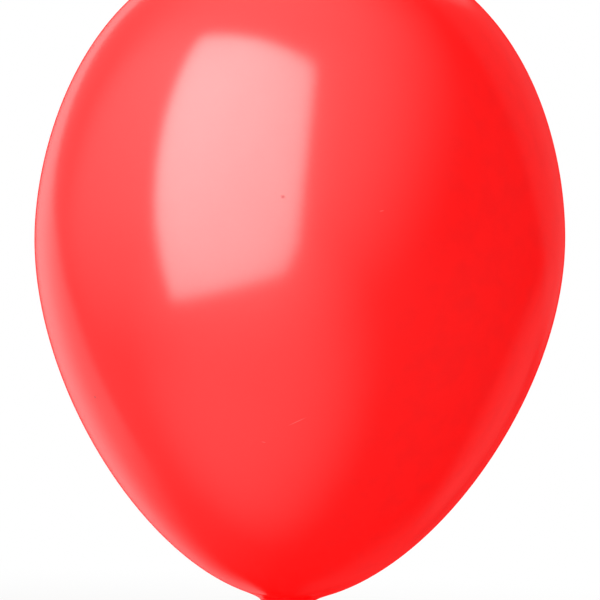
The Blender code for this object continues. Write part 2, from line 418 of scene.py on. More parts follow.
    def close(self, tree: Tree, colour: Socket, rough: Node, gloss: Node, folds: Inputs) -> None:
        """Ends a latex in its creases and its shader.

        Args:
            tree: the material's tree.
            colour: the socket of its colour.
            rough: its roughness.
            gloss: its specular level.
            folds: what raises its creases.
        """
        raised = {"Distance": self.crease_height_mm * MM, **folds}
        creased = add_node(tree, "Bump", raised)
        latex = {
            "Base Color": colour,
            "Roughness": rough,
            "IOR": self.index,
            "Specular IOR Level": gloss,
            "Normal": creased,
        }
        shader = add_node(tree, "BsdfPrincipled", latex)
        add_node(tree, "OutputMaterial", {"Surface": shader})


# ------------------------------------------------------------------------------------------------
# Meshes


def bezier(points: Sequence[tuple[float, float]], steps: int) -> np.ndarray:
    """Points along a cubic Bezier curve, both ends included.

    Args:
        points: the two ends and the two handles between them.
        steps: how many stretches it is cut into.

    Returns:
        The points, one row each.
    """
    t = np.linspace(0.0, 1.0, steps + 1)[:, None]
    s = 1.0 - t
    a, b, c, d = np.array(points, float)
    return a * s**3 + 3 * b * s * s * t + 3 * c * s * t * t + d * t**3


def waves(angle: np.ndarray, parts: Waves) -> np.ndarray:
    """The sum of some waves round the axis, at each angle."""
    return sum(size * np.sin(count * angle + shift) for size, count, shift in parts)


def smoothstep(low: float, high: float, value: Any) -> Any:
    """A share that runs smoothly from 0 at low to 1 at high."""
    t = np.clip((value - low) / (high - low), 0.0, 1.0)
    return t * t * (3 - 2 * t)


def on_axis(height: float) -> Vector:
    """The point of the balloon's axis at a height, or a step that far up."""
    return Vector((0.0, 0.0, height))


def angles(count: int) -> np.ndarray:
    """Evenly spaced angles round the axis, the first at 0."""
    return np.linspace(0.0, math.tau, count, endpoint=False)


def loft(name: str, rings: Sequence[Ring], ends: tuple[Vector, Vector] | None = None) -> Object:
    """Joins rings of as many points each into one smooth, closed skin.

    Args:
        name: the piece's name.
        rings: the rings, in order along the skin.
        ends: the points that close the first and the last ring. Without them the last ring joins the first.

    Returns:
        The piece.
    """
    count, rows = len(rings[0]), len(rings)
    points = np.vstack(rings).tolist()
    faces = []
    for row in range(rows - 1 if ends else rows):
        here, after = row * count, (row + 1) % rows * count
        for i in range(count):
            j = (i + 1) % count
            faces.append((here + i, after + i, after + j, here + j))
    if ends:
        first, last = len(points), len(points) + 1
        points += [tuple(ends[0]), tuple(ends[1])]
        bottom = (rows - 1) * count
        for i in range(count):
            j = (i + 1) % count
            faces.append((i, j, first))
            faces.append((bottom + j, bottom + i, last))
    mesh = bpy.data.meshes.new(name)
    mesh.from_pydata(points, [], faces)
    return smooth_piece(name, mesh)


def put(name: str, data: bpy.types.ID) -> Object:
    """Puts a new thing in the scene.

    Args:
        name: the thing's name.
        data: its mesh, its light or its lens.

    Returns:
        The thing.
    """
    thing = bpy.data.objects.new(name, data)
    bpy.context.scene.collection.objects.link(thing)
    return thing


def smooth_piece(name: str, mesh: bpy.types.Mesh, crease: float = 60.0) -> Object:
    """Makes a smooth-shaded piece from a mesh, with its faces turned outwards.

    Args:
        name: the piece's name.
        mesh: its mesh.
        crease: the angle in degrees above which an edge stays sharp.

    Returns:
        The piece.
    """
    shape = bmesh.new()
    shape.from_mesh(mesh)
    bmesh.ops.recalc_face_normals(shape, faces=shape.faces)
    shape.to_mesh(mesh)
    shape.free()
    mesh.shade_smooth()
    mesh.set_sharp_from_angle(angle=math.radians(crease))
    return put(name, mesh)


def dress(piece: Object, finish: Material, slot: str, *nodes: str) -> None:
    """Gives a piece its material, and lets it stand for its CAD nodes.

    Args:
        piece: the piece.
        finish: its material.
        slot: the record's material slot; not used.
        nodes: the CAD nodes that it stands for.
    """
    piece.data.materials.append(finish)
    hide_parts(*nodes)
    LOG.info("%s: %d points, stands for %s", piece.name, len(piece.data.vertices), ", ".join(nodes))


# ------------------------------------------------------------------------------------------------
# The balloon

SKIN_POINTS = 216  # in each ring of the bulb, the neck and the throat


@dataclass
class Gathers:
    """The folds that run down the gathered skin: broad ones at the neck's mouth, fine ones at the throat.

    Every stretch of skin from the bulb's underside to the knot asks for the same folds, so that they meet.
    """

    top: float  # height where the broad folds start, on the bulb's underside
    fillet: float  # height where the bulb's underside has turned down into the neck
    throat: float  # height where the neck is gathered
    broad_folds: int = 4
    broad_depth: float = 2.6 * MM
    broad_sharpness: float = 1.6
    broad_growth: float = 1.2  # how late they deepen, down to the fillet
    broad_loss: float = 0.88  # how much of their depth is gone at the throat
    fine_folds: int = 9
    fine_depth: float = 0.85 * MM
    fine_sharpness: float = 0.8
    fine_growth: float = 0.8  # how late they deepen, down to the throat
    fine_wander: float = 1.3
    fine_share: tuple[float, float] = (0.75, 0.25)  # of their depth, all round and more or less in places
    fine_places: int = 3
    fine_shift: float = 0.4
    wander: Waves = ((0.55, 1, 0.8), (0.25, 2, 2.1))  # how unevenly they lie round the axis
    front_ridge: float = math.radians(-99)  # where a broad ridge faces, from +X
    twist: float = math.radians(70)  # turned while it was tied, from the fillet to the throat

    def sink(self, angle: np.ndarray, height: float) -> np.ndarray:
        """How far the skin folds inwards.

        Args:
            angle: angles round the axis.
            height: the height.

        Returns:
            The depth at each angle, in metres.
        """
        down = smoothstep(self.fillet, self.throat, height)
        turned = angle - self.twist * down
        wander = waves(turned, self.wander)
        broad = 0.5 - 0.5 * np.cos(self.broad_folds * (turned - self.front_ridge) + wander)
        broad_depth = self.broad_depth * smoothstep(self.top, self.fillet, height) ** self.broad_growth
        broad_depth = broad_depth * (1 - self.broad_loss * down)
        fine = np.abs(np.sin(0.5 * self.fine_folds * turned + self.fine_wander * wander))
        fine_depth = self.fine_depth * down**self.fine_growth
        even, more = self.fine_share
        uneven = even + more * np.cos(self.fine_places * turned + self.fine_shift)
        deep = broad_depth * broad**self.broad_sharpness
        return deep + fine_depth * (1 - fine**self.fine_sharpness) * uneven

    def ring(self, radius: float, height: float, inward: float = 0.0) -> Ring:
        """A ring of gathered skin.

        Args:
            radius: its radius over the folds.
            height: its height.
            inward: how much smaller it is, for the skin's inside.

        Returns:
            The ring.
        """
        angle = angles(SKIN_POINTS)
        r = radius - self.sink(angle, height) - inward
        return np.column_stack((r * np.cos(angle), r * np.sin(angle), np.full(SKIN_POINTS, height)))


@dataclass
class RoundSkin:
    """A round part of the skin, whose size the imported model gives."""

    radius: float = field(init=False)
    low: float = field(init=False)
    high: float = field(init=False)

    def measure(self, node: str) -> None:
        """Takes its size from a CAD node."""
        corner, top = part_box(node)
        self.radius, self.low, self.high = top.x, corner.z, top.z


@dataclass
class Bulb(RoundSkin):
    """The blown bulb: one thin skin, from the crown down to the neck."""

    widest_share: float = 0.54053  # of the bulb's height, up from the neck
    crown_fullness: float = 0.31764  # the handle above the widest section, of the height over it
    crown_flatness: float = 0.81857  # the handle beside the crown, of the radius
    flank_fullness: float = 0.40822  # the handle below the widest section, of the depth under it
    shoulder_radius: float = 0.58571  # the handle above the neck, of the radius
    shoulder_depth: float = 0.88901  # and of the depth
    skin_thickness: float = 0.10 * MM
    crown_rows: int = 70
    flank_rows: int = 90
    inside_step: int = 2  # how many rows outside make one inside
    blemishes: tuple[Blemish, ...] = (  # azimuth, height, length and width
        Blemish(-3.5, 0.0158, 2.4, 2.2),
        Blemish(-56.4, -0.0846, 3.2, 2.1),
        Blemish(0.9, -0.0906, 12.0, 0.50, turn=27.0, pale=True),
        Blemish(-7.2, -0.1014, 2.6, 0.5, turn=-10.0, pale=True),
        Blemish(15.9, 0.011, 3.0, 0.6, turn=12.0, pale=True),
        Blemish(118.0, 0.047, 2.3, 2.0),
        Blemish(171.0, -0.031, 8.0, 0.4, turn=-22.0, pale=True),
        Blemish(-134.0, 0.012, 2.0, 1.9),
    )
    neck_radius: float = field(init=False)

    def __post_init__(self) -> None:
        """Takes its size and the neck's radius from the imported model."""
        self.measure("envelope")
        self.neck_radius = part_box("neck")[1].x

    @property
    def widest(self) -> float:
        """The height of the widest section."""
        return self.low + self.widest_share * (self.high - self.low)

    @property
    def crown(self) -> Vector:
        """The top of the bulb."""
        return on_axis(self.high)

    def outline(self) -> np.ndarray:
        """The bulb's profile.

        Returns:
            Radius and height of each ring, from the crown down to the neck.
        """
        up, down = self.high - self.widest, self.widest - self.low
        side = (self.radius, self.widest)
        top = (self.crown_flatness * self.radius, self.high)
        over = (self.radius, self.widest + self.crown_fullness * up)
        crown = bezier([(0.0, self.high), top, over, side], self.crown_rows)
        under = (self.radius, self.widest - self.flank_fullness * down)
        shoulder = (self.shoulder_radius * self.radius, self.widest - self.shoulder_depth * down)
        flank = bezier([side, under, shoulder, (self.neck_radius, self.low)], self.flank_rows)
        return np.vstack((crown[1:], flank[1:]))

    def marks(self) -> list[Mark]:
        """Puts the blemishes in their places on the skin.

        Returns:
            The marks.
        """
        profile = self.outline()[::-1]
        placed = []
        for spot in self.blemishes:
            z = self.widest + spot.height
            r = float(np.interp(z, profile[:, 1], profile[:, 0]))
            round_axis = Matrix.Rotation(math.radians(spot.azimuth), 3, "Z")
            lean = Matrix.Rotation(-math.radians(spot.turn), 3, "Y")
            placed.append(
                Mark(
                    place=round_axis @ Vector((0.0, -r, 0.0)) + on_axis(z),
                    turn=(round_axis @ lean).to_euler(),
                    reach=(spot.length / 2 * MM, spot.length / 2 * MM, spot.width / 2 * MM),
                    pale=spot.pale,
                )
            )
        return placed

    def build(self, gathers: Gathers, finish: Material) -> None:
        """Makes the skin.

        Args:
            gathers: the folds that start on its underside.
            finish: its material.
        """
        outline = self.outline()
        outer = [gathers.ring(r, z) for r, z in outline]
        under = self.high - self.skin_thickness
        back = outline[:: -self.inside_step]
        inner = [gathers.ring(r, min(z, under), self.skin_thickness) for r, z in back]
        inside = self.crown - on_axis(self.skin_thickness)
        piece = loft("bulb_skin", outer + inner, (self.crown, inside))
        dress(piece, finish, "envelope", "envelope")
        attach(piece, "bulb")


@dataclass
class Throat(RoundSkin):
    """The gathered stem between the neck and the knot, where a ribbon is tied."""

    waist_share: float = 0.90  # of its radius, where it is tied
    root_share: float = 0.70  # of its radius, at its lower end inside the knot
    grip: float = 3.4 * MM  # how far its lower end reaches into the knot
    bend_start: float = 0.25  # of the way down to the knot, where its bend starts
    bend_end: float = 0.3  # of the grip, where its bend ends inside the knot
    rows: int = 30

    def __post_init__(self) -> None:
        """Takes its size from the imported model."""
        self.measure("throat")

    def reach(self, height: float) -> float:
        """The stem's radius over its folds.

        Args:
            height: the height.

        Returns:
            The radius.
        """
        waist, full = self.waist_share, 1.0
        middle = (self.high + self.low) / 2
        if height > middle:
            share = waist + (full - waist) * smoothstep(middle, self.high, height)
        elif height > self.low:
            share = waist + (full - waist) * smoothstep(middle, self.low, height)
        else:
            share = full - (full - self.root_share) * smoothstep(self.low, self.low - self.grip, height)
        return self.radius * share

    def build(self, gathers: Gathers, finish: Material) -> None:
        """Makes the stem.

        Args:
            gathers: the folds that run down it.
            finish: its material.
        """
        heights = np.linspace(0.0, self.low - self.grip, self.rows)
        rings = [gathers.ring(self.reach(z), z) for z in heights]
        ends = (on_axis(0.0), on_axis(heights[-1]))
        piece = loft("throat_skin", rings, ends)
        dress(piece, finish, "throat", "throat")
        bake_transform(piece)


@dataclass
class Neck(RoundSkin):
    """The gathered funnel, from the bulb's underside down to the middle of the throat."""

    fillet_share: float = 0.60944  # the radius where it turns down, of its radius at the top
    fillet_drop: float = 0.21818  # how far below its top it turns down, of its length
    shelf_reach: float = 0.64  # the handle under the bulb, of the shelf's width
    fillet_flare: float = 0.4 * MM  # the handle over the fillet, outwards
    fillet_rise: float = 0.35  # and upwards, of the shelf's height
    fillet_draw: float = 0.8 * MM  # the handle under the fillet, inwards
    fillet_fall: float = 0.42  # and downwards, of the funnel's height
    stem_flare: float = 0.1 * MM  # the handle over the throat, outwards
    stem_rise: float = 0.50  # and upwards, of the funnel's height
    top_thickness: float = 0.10 * MM
    bottom_thickness: float = 0.30 * MM
    shelf_rows: int = 16
    funnel_rows: int = 46
    stem_rows: int = 10

    def __post_init__(self) -> None:
        """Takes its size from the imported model."""
        self.measure("neck")

    @property
    def fillet(self) -> float:
        """The height at which it has turned down."""
        return self.high - self.fillet_drop * (self.high - self.low)

    def outline(self, bulb: Bulb, throat: Throat) -> np.ndarray:
        """The neck's profile.

        Args:
            bulb: the bulb above it.
            throat: the throat below it.

        Returns:
            Radius and height of each ring, from the bulb down.
        """
        above = bulb.outline()
        slope = (above[-2] - above[-1]) / np.linalg.norm(above[-2] - above[-1])
        turn = self.fillet_share * self.radius
        start = np.array((self.radius, bulb.low))
        inward = start - slope * self.shelf_reach * (self.radius - turn)
        over = (turn + self.fillet_flare, self.fillet + self.fillet_rise * (self.high - self.fillet))
        shelf = bezier([tuple(start), tuple(inward), over, (turn, self.fillet)], self.shelf_rows)
        drop = self.fillet - self.low
        under = (turn - self.fillet_draw, self.fillet - self.fillet_fall * drop)
        beside = (throat.radius + self.stem_flare, self.low + self.stem_rise * drop)
        end = (throat.reach(self.low), self.low)
        funnel = bezier([(turn, self.fillet), under, beside, end], self.funnel_rows)
        heights = np.linspace(self.low, 0.0, self.stem_rows)[1:]
        stem = [(throat.reach(z), z) for z in heights]
        return np.vstack((shelf, funnel[1:], stem))

    def build(self, bulb: Bulb, throat: Throat, gathers: Gathers, finish: Material) -> None:
        """Makes the funnel.

        Args:
            bulb: the bulb above it.
            throat: the throat below it.
            gathers: the folds that run down it.
            finish: its material.
        """
        outline = self.outline(bulb, throat)
        ends = [self.bottom_thickness, self.top_thickness]
        thickness = np.interp(outline[:, 1], [self.low, self.high], ends)
        outer = [gathers.ring(r, z) for r, z in outline]
        inner = [gathers.ring(r, z, t) for (r, z), t in zip(outline, thickness)]
        piece = loft("neck_skin", outer + inner[::-1])
        dress(piece, finish, "neck", "neck")
        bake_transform(piece)


@dataclass
class Knot:
    """The overhand knot: the neck crosses itself, goes once round and comes out through its own turn."""

    strand_mm: tuple[float, ...] = (1.6, 2.4, 2.9, 2.9, 2.9, 2.9, 2.6, 1.5)  # half its width, end to end
    strand_flatness: float = 0.95
    ridges: int = 8
    ridge_height: float = 0.42 * MM
    ridge_sharpness: float = 0.7
    twist: float = math.radians(150)  # of the ridges, from end to end
    strand_points: int = 96
    span_points: int = 14
    core_mm: float = 3.9  # radius of the rubber squeezed together in the middle
    core_drop_mm: float = 0.7
    core_fineness: int = 4
    voxel: float = 0.16 * MM
    relax_share: float = 0.5
    relax_rounds: int = 3
    route: tuple[tuple[float, float, float], ...] = (  # mm out, degrees from the front, mm up
        (0.0, 190.0, 6.6), (0.1, 190.0, 5.0), (0.8, 185.0, 2.8),
        (2.4, 170.0, 0.6), (3.9, 130.0, -1.7), (4.3, 90.0, -2.6),
        (4.3, 45.0, -2.1), (4.3, 0.0, -1.0), (4.3, -45.0, 0.1),
        (4.3, -90.0, 0.9), (4.3, -135.0, 1.1), (4.2, -180.0, 1.0),
        (4.0, -225.0, 1.3), (3.2, -262.0, 0.9), (1.6, -295.0, -0.8),
        (0.5, -310.0, -2.6), (0.0, -310.0, -4.6), (0.0, -310.0, -6.0),
    )
    centre: Vector = field(default_factory=lambda: pivot("knot_sway"))

    def line(self) -> np.ndarray:
        """The strand's centre line: a Catmull-Rom curve through the points of the route.

        Returns:
            Its points, one row each.
        """
        points = [aim(turn, 0.0) * out + on_axis(up) for out, turn, up in self.route]
        points = np.array(points) * MM
        t = np.linspace(0.0, 1.0, self.span_points, endpoint=False)[:, None]
        spans = []
        for a, b, c, d in zip(points, points[1:], points[2:], points[3:]):
            bend, swing = 2 * a - 5 * b + 4 * c - d, 3 * b - a - 3 * c + d
            spans.append(0.5 * (2 * b + (c - a) * t + bend * t**2 + swing * t**3))
        return np.vstack(spans) + np.array(self.centre)

    def strand(self) -> Object:
        """Sweeps the ridged strand along its route.

        Returns:
            The strand.
        """
        line = self.line()
        along = np.gradient(line, axis=0)
        along /= np.linalg.norm(along, axis=1)[:, None]
        side = np.array((1.0, 0.0, 0.0))
        turn = angles(self.strand_points)
        rings = []
        for i, (point, forward) in enumerate(zip(line, along)):
            side = side - forward * (side @ forward)
            side /= np.linalg.norm(side)
            across = np.cross(forward, side)
            share = i / (len(line) - 1)
            ridge = np.abs(np.sin(0.5 * self.ridges * (turn + self.twist * share)))
            width = np.interp(share, np.linspace(0.0, 1.0, len(self.strand_mm)), self.strand_mm) * MM
            radius = width - self.ridge_height * (1 - ridge**self.ridge_sharpness)
            x, y = radius * np.cos(turn), self.strand_flatness * radius * np.sin(turn)
            rings.append(point + x[:, None] * side + y[:, None] * across)
        return loft("knot", rings, (Vector(line[0]), Vector(line[-1])))

    def build(self, finish: Material) -> None:
        """Makes the knot, its strands drawn tight into one.

        Args:
            finish: its material.
        """
        strand = self.strand()
        shape = bmesh.new()
        shape.from_mesh(strand.data)
        middle = Matrix.Translation(self.centre - on_axis(self.core_drop_mm * MM))
        radius = self.core_mm * MM
        bmesh.ops.create_icosphere(shape, subdivisions=self.core_fineness, radius=radius, matrix=middle)
        shape.to_mesh(strand.data)
        shape.free()
        fuse = strand.modifiers.new("fuse", "REMESH")
        fuse.mode = "VOXEL"
        fuse.voxel_size = self.voxel
        relax = strand.modifiers.new("relax", "SMOOTH")
        relax.factor = self.relax_share
        relax.iterations = self.relax_rounds
        evaluated = strand.evaluated_get(bpy.context.evaluated_depsgraph_get())
        drawn = bpy.data.meshes.new_from_object(evaluated)
        bpy.data.objects.remove(strand)
        piece = smooth_piece("knot", drawn)
        dress(piece, finish, "knot_core", "knot_core", "knot_turn")
        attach(piece, "knot")


@dataclass
class Tail:
    """The sleeve below the knot, pleated at its root and flaring to the mouth, and the bead round that."""

    root_radius: float = 2.5 * MM
    root_rise: float = 5.0 * MM  # how far its root reaches up into the knot
    root_fullness: int = 4  # how square the root's dome is
    root_tip: float = 0.12  # radians over the dome, from its middle to its first ring
    root_rows: int = 16
    flare: float = 1.25  # how late it widens
    thickness: float = 0.35 * MM
    solid_depth: float = 4.5 * MM  # gathered solid below the pivot
    wander: Waves = ((0.5, 1, 2.0), (0.3, 3, 0.5))  # how unevenly the pleats lie round it
    pleats: int = 9
    pleat_depth: float = 0.80 * MM
    pleat_sharpness: float = 0.85
    pleat_fade: float = 0.9  # how early they are gone, down to the mouth
    folds: int = 5
    fold_depth: float = 1.05 * MM
    fold_shift: float = 1.1
    fold_wander: float = 0.8
    fold_full: float = 0.75  # how far down they are full
    fold_loss: float = 0.45  # how much of their depth is gone at the mouth
    rim_wave: float = 0.45 * MM  # up and down
    rim_waves: int = 3
    rim_shift: float = 0.9
    rim_growth: int = 3  # how late they rise, down to the mouth
    twist: float = math.radians(35)
    twist_fade: int = 2  # how early it is gone, down to the mouth
    bend_rise: float = 2.0 * MM  # over the pivot, where its bend starts
    bend_drop: float = 1.5  # times as far under the pivot, where its bend ends
    points: int = 240
    rows: int = 64
    bead_radius: float = 1.12 * MM
    bead_waves: Waves = ((0.05, 5, 1.0), (0.03, 11, 0.0))  # how unevenly it is rolled
    bead_seam: float = 0.16 * MM  # the groove where the roll ends
    seam_turn: float = 2.4  # radians round the bead, from its outside
    seam_width: float = 0.28
    bead_points: int = 28
    pivot: Vector = field(default_factory=lambda: pivot("tail_swing"))
    half_width: float = field(init=False)
    half_depth: float = field(init=False)
    lip_height: float = field(init=False)

    def __post_init__(self) -> None:
        """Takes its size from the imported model."""
        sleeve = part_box("tail")[1]
        low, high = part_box("rolled_lip")
        self.half_width, self.half_depth = sleeve.x, sleeve.y
        self.lip_height = (low.z + high.z) / 2

    @property
    def length(self) -> float:
        """From the pivot down to the middle of the lip."""
        return self.pivot.z - self.lip_height

    def ring(self, depth: float, inward: float = 0.0) -> Ring:
        """A ring of the sleeve.

        Args:
            depth: how far below the pivot it is.
            inward: how much smaller it is, for the sleeve's inside.

        Returns:
            The ring.
        """
        share = max(0.0, depth / self.length)
        angle = angles(self.points)
        turned = angle + self.twist * (1 - share) ** self.twist_fade
        wander = waves(turned, self.wander)
        pleat = 1 - np.abs(np.sin(0.5 * self.pleats * turned + wander)) ** self.pleat_sharpness
        fold = 0.5 - 0.5 * np.cos(self.folds * turned + self.fold_shift + self.fold_wander * wander)
        fold_depth = self.fold_depth * smoothstep(0.0, self.fold_full, share) * (1 - self.fold_loss * share)
        sink = self.pleat_depth * (1 - share) ** self.pleat_fade * pleat + fold_depth * fold
        widen = share**self.flare
        half_x = self.root_radius + (self.half_width - self.root_radius) * widen - inward
        half_y = self.root_radius + (self.half_depth - self.root_radius) * widen - inward
        if depth < 0:
            dome = math.sqrt(max(0.0, 1 - (depth / self.root_rise) ** self.root_fullness))
            half_x, half_y, sink = half_x * dome, half_y * dome, sink * dome
        rim = self.rim_wave * share**self.rim_growth
        z = self.pivot.z - depth + rim * np.cos(self.rim_waves * angle + self.rim_shift)
        return np.column_stack(((half_x - sink) * np.cos(angle), (half_y - sink) * np.sin(angle), z))

    def build_sleeve(self, finish: Material) -> None:
        """Makes the sleeve.

        Args:
            finish: its material.
        """
        over = np.linspace(self.root_tip, math.pi / 2, self.root_rows)
        up = np.linspace(self.length, self.solid_depth, self.rows // 2)
        root = [self.ring(-self.root_rise * math.cos(t)) for t in over]
        outer = [self.ring(d) for d in np.linspace(0.0, self.length, self.rows)[1:]]
        inner = [self.ring(d, self.thickness) for d in up]
        ends = (self.pivot + on_axis(self.root_rise), self.pivot - on_axis(self.solid_depth))
        piece = loft("tail_skin", root + outer + inner, ends)
        dress(piece, finish, "tail", "tail")
        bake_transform(piece)

    def build_lip(self, finish: Material) -> None:
        """Makes the rolled bead.

        Args:
            finish: its material.
        """
        middle = self.ring(self.length, self.thickness / 2)
        outward = middle * (1.0, 1.0, 0.0)
        outward /= np.linalg.norm(outward, axis=1)[:, None]
        rolled = self.bead_radius * (1 + waves(angles(self.points), self.bead_waves))
        rings = []
        for turn in angles(self.bead_points):
            seam = math.exp(-(((turn - self.seam_turn) / self.seam_width) ** 2))
            radius = rolled - self.bead_seam * seam
            rise = np.outer(radius, (0, 0, math.sin(turn)))
            rings.append(middle + (radius * math.cos(turn))[:, None] * outward + rise)
        piece = loft("lip_bead", rings)
        dress(piece, finish, "rolled_lip", "rolled_lip")
        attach(piece, "tail")


def pivot(joint: str) -> Vector:
    """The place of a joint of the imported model."""
    return next(Vector(j["pos_m"]) for j in FRAME["joints"] if j["name"] == joint)


# ------------------------------------------------------------------------------------------------
# The studio


class Rays(Enum):
    """Which light a lamp or a card gives."""

    SHEEN = "only reflections"
    SHADE = "only the light that shapes and shadows"


@dataclass(frozen=True)
class Glow:
    """A soft patch of brightness in the far surroundings."""

    azimuth: float  # degrees from the front, to the right
    elevation: float
    core: float  # degrees from its middle to where it starts to fade
    edge: float  # degrees from its middle to where it is gone
    strength: float

    def patch(self, tree: Tree, look: Socket) -> Node:
        """Adds the glow's own light, seen in a direction.

        Args:
            tree: the world's tree.
            look: the socket of the direction.

        Returns:
            The node that gives its strength.
        """
        towards = {0: look, 1: aim(self.azimuth, self.elevation)}
        facing = add_node(tree, "VectorMath", towards, operation="DOT_PRODUCT")
        fading = {
            "Value": facing.outputs["Value"],
            "From Min": math.cos(math.radians(self.edge)),
            "From Max": math.cos(math.radians(self.core)),
            "To Max": self.strength,
        }
        return add_node(tree, "MapRange", fading, **SMOOTH)


def aim(azimuth: float, elevation: float) -> Vector:
    """The direction at an azimuth from the front, to the right, and an elevation, both in degrees."""
    turn, rise = math.radians(azimuth), math.radians(elevation)
    return Vector((math.sin(turn) * math.cos(rise), -math.cos(turn) * math.cos(rise), math.sin(rise)))


def show(thing: Object, rays: Rays) -> None:
    """Hides a lamp or a card from the camera, and keeps it to its own kind of light.

    Args:
        thing: the lamp or the card.
        rays: the light that it gives.
    """
    thing.visible_camera = False
    thing.visible_transmission = False
    thing.visible_volume_scatter = False
    thing.visible_glossy = rays is Rays.SHEEN
    thing.visible_diffuse = rays is Rays.SHADE


def lay_sheet(name: str, finish: str, outline: Sequence[Any], place: Matrix) -> tuple[Object, Tree, Socket]:
    """Lays or hangs a flat sheet of the studio.

    Args:
        name: the sheet's name.
        finish: its material's name.
        outline: its corners.
        place: where it is and how it is turned.

    Returns:
        The sheet, its material's empty tree, and the socket of a place on it.
    """
    mesh = bpy.data.meshes.new(name)
    mesh.from_pydata(outline, [], [tuple(range(len(outline)))])
    sheet = put(name, mesh)
    sheet.matrix_world = place
    material, tree, spot = start_material(finish)
    mesh.materials.append(material)
    sheet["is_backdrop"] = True
    return sheet, tree, spot


def shine(card: Object, tree: Tree, strength: Node) -> None:
    """Makes a clear card that shines, and that only the gloss sees.

    Args:
        card: the card.
        tree: its material's tree.
        strength: its light.
    """
    show(card, Rays.SHEEN)
    light = add_node(tree, "Emission", {"Strength": strength})
    clear = add_node(tree, "BsdfTransparent")
    both = add_node(tree, "AddShader", {0: light, 1: clear})
    add_node(tree, "OutputMaterial", {"Surface": both})


@dataclass
class Softbox:
    """The lamp that the bulb mirrors: a big diffuser with one corner cut, brightest off its middle."""

    azimuth: float = -40.6
    elevation: float = 14.7
    roll: float = 6.4
    distance: float = 0.50
    left: float = -0.133
    right: float = 0.418
    bottom: float = -0.325
    top: float = 0.455
    corner: tuple[float, float] = (0.058, 0.095)
    strength: float = 9.1
    bright: tuple[float, float] = (0.07, 0.19)  # its brightest place
    fade: tuple[float, float] = (0.75, 0.95)  # how far off that it would be dark

    def build(self, centre: Vector) -> None:
        """Makes the diffuser.

        Args:
            centre: what it lights.
        """
        ahead = aim(self.azimuth, self.elevation)
        level = on_axis(1.0).cross(ahead).normalized()
        axes = Matrix((level, ahead.cross(level), ahead)).transposed()
        axes = axes @ Matrix.Rotation(math.radians(self.roll), 3, "Z")
        place = Matrix.Translation(centre + ahead * self.distance) @ axes.to_4x4()
        cut_x, cut_y = self.corner
        outline = [
            (self.left, self.bottom, 0.0),
            (self.right - cut_x, self.bottom, 0.0),
            (self.right, self.bottom + cut_y, 0.0),
            (self.right, self.top, 0.0),
            (self.left, self.top, 0.0),
        ]
        card, tree, spot = lay_sheet("softbox", "softbox_diffuser", outline, place)
        from_bright = {"Vector": spot, "Location": (*self.bright, 0.0), "Scale": (*self.fade, 1.0)}
        off = add_node(tree, "Mapping", from_bright, vector_type="TEXTURE")
        far = add_node(tree, "VectorMath", {0: off}, operation="LENGTH").outputs["Value"]
        squared = add_node(tree, "Math", {0: far, 1: far}, operation="MULTIPLY")
        fading = {"Value": squared, "To Min": self.strength, "To Max": 0.0}
        shine(card, tree, add_node(tree, "MapRange", fading))


@dataclass
class Backdrop:
    """The lit paper behind the balloon, whose edge shows in the gloss along the bulb's left rim."""

    distance: float = 1.50
    aside: float = -0.12  # of the bulb's middle, where the left flank mirrors it
    strength: float = 0.50
    outline: tuple[tuple[float, float], ...] = (  # metres to the right and up
        (0.0, 1.50), (-0.60, 1.20), (-1.00, 0.70), (-1.40, 0.36),
        (-2.18, -0.03), (-2.88, -0.86), (-3.20, -2.10), (-3.05, -3.40),
        (-2.45, -3.45), (-1.20, -2.90), (-0.22, -1.55), (0.08, -0.60),
    )
    lift: tuple[float, float] = (6.2, 1.9)  # how much brighter its middle is, and its rim
    lift_reach: float = 2.5
    across: tuple[float, float, float] = (-0.495, 0.0, 0.869)  # square to its lower edge
    fade: tuple[float, float] = (-1.50, -0.32)  # metres that way, from where it ends to where it is full

    def build(self, centre: Vector) -> None:
        """Hangs the paper.

        Args:
            centre: the middle of the bulb.
        """
        place = Matrix.Translation(centre + Vector((self.aside, self.distance, 0.0)))
        outline = [(x, 0.0, z) for x, z in self.outline]
        card, tree, spot = lay_sheet("backdrop", "lit_paper", outline, place)
        along = add_node(tree, "VectorMath", {0: spot, 1: self.across}, operation="DOT_PRODUCT")
        end, full = self.fade
        height = along.outputs["Value"]
        rising = {"Value": height, "From Min": end, "From Max": full, "To Max": self.strength}
        level = add_node(tree, "MapRange", rising)
        far = add_node(tree, "VectorMath", {0: spot}, operation="LENGTH").outputs["Value"]
        middle, rim = self.lift
        fading = {"Value": far, "From Max": self.lift_reach, "To Min": middle, "To Max": rim}
        lift = add_node(tree, "MapRange", fading, **SMOOTH)
        shine(card, tree, add_node(tree, "Math", {0: level, 1: lift}, operation="MULTIPLY"))


